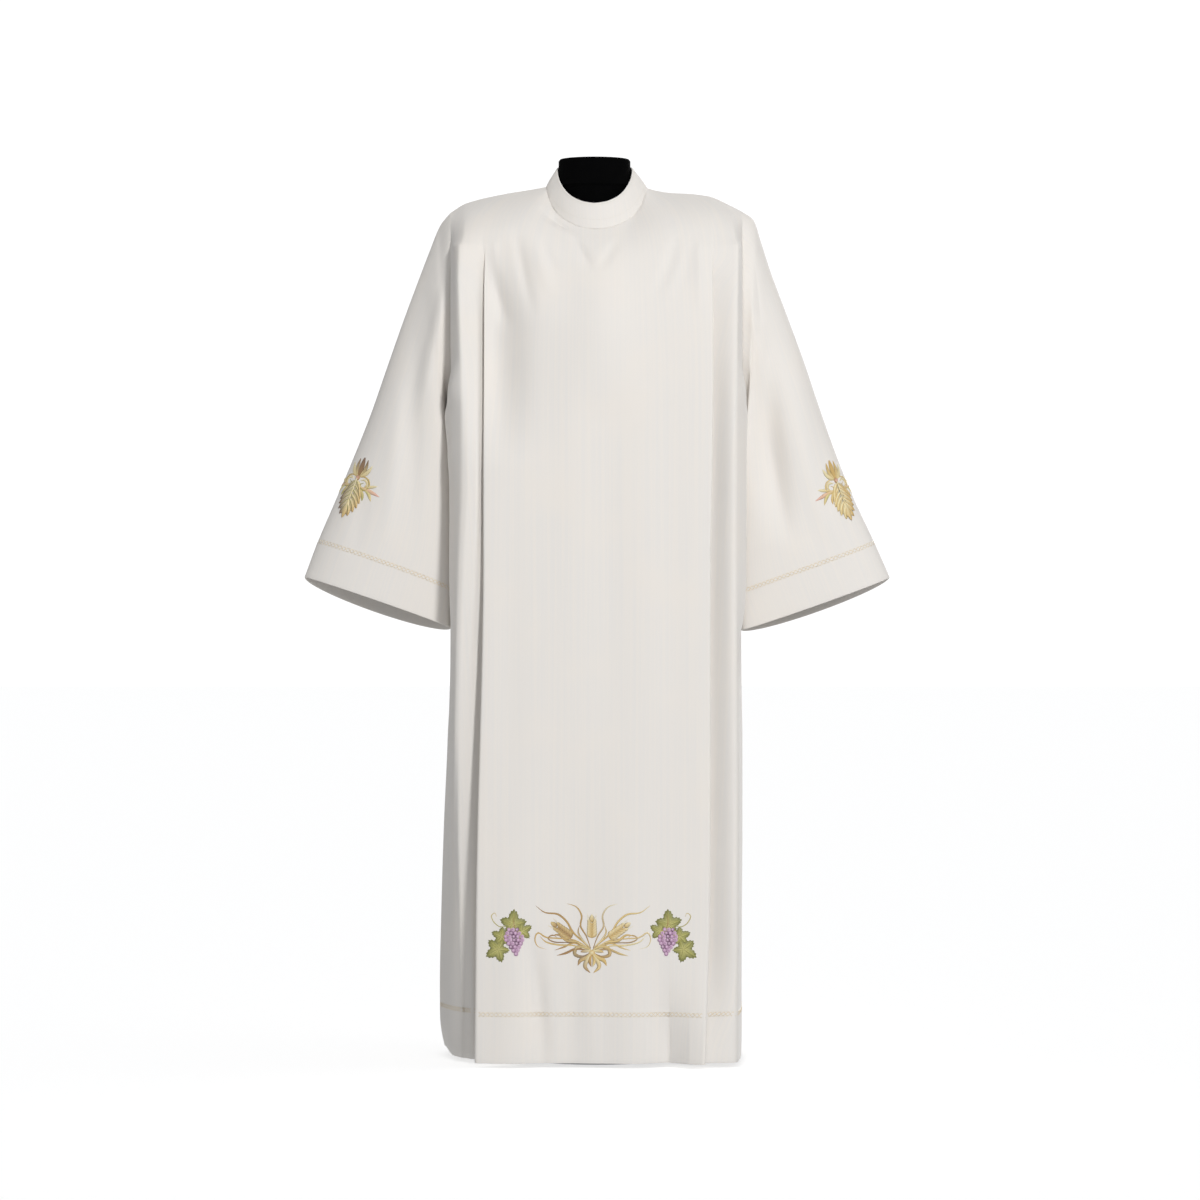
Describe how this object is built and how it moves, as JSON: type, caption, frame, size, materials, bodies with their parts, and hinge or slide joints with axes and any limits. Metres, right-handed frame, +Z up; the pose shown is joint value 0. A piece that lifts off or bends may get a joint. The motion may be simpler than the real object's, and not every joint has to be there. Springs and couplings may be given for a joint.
{
  "type": "alb robe on dress form",
  "caption": "Long ivory alb with wide open sleeves, stand collar and deep front pleats, worn by a limbless black dress form on a pole and round foot.",
  "frame": {"origin": "on the floor at the middle of the dress form's round foot", "axes": "+Z up, -Y towards the garment's front, +X to the right of a viewer facing the front"},
  "size_m": [1.0174, 0.3849, 1.558],
  "materials": {
    "alb_cloth": "matt woven ivory polyester with a fine slub",
    "form_cover": "matt black jersey",
    "form_metal": "satin black"
  },
  "bodies": {
    "root": {"body_front": "alb_cloth", "body_back": "alb_cloth", "sleeve_left": "alb_cloth", "sleeve_right": "alb_cloth", "collar": "alb_cloth", "placket_back": "alb_cloth", "form_torso": "form_cover", "form_pole": "form_metal", "form_base": "form_metal"}
  },
  "joints": []
}
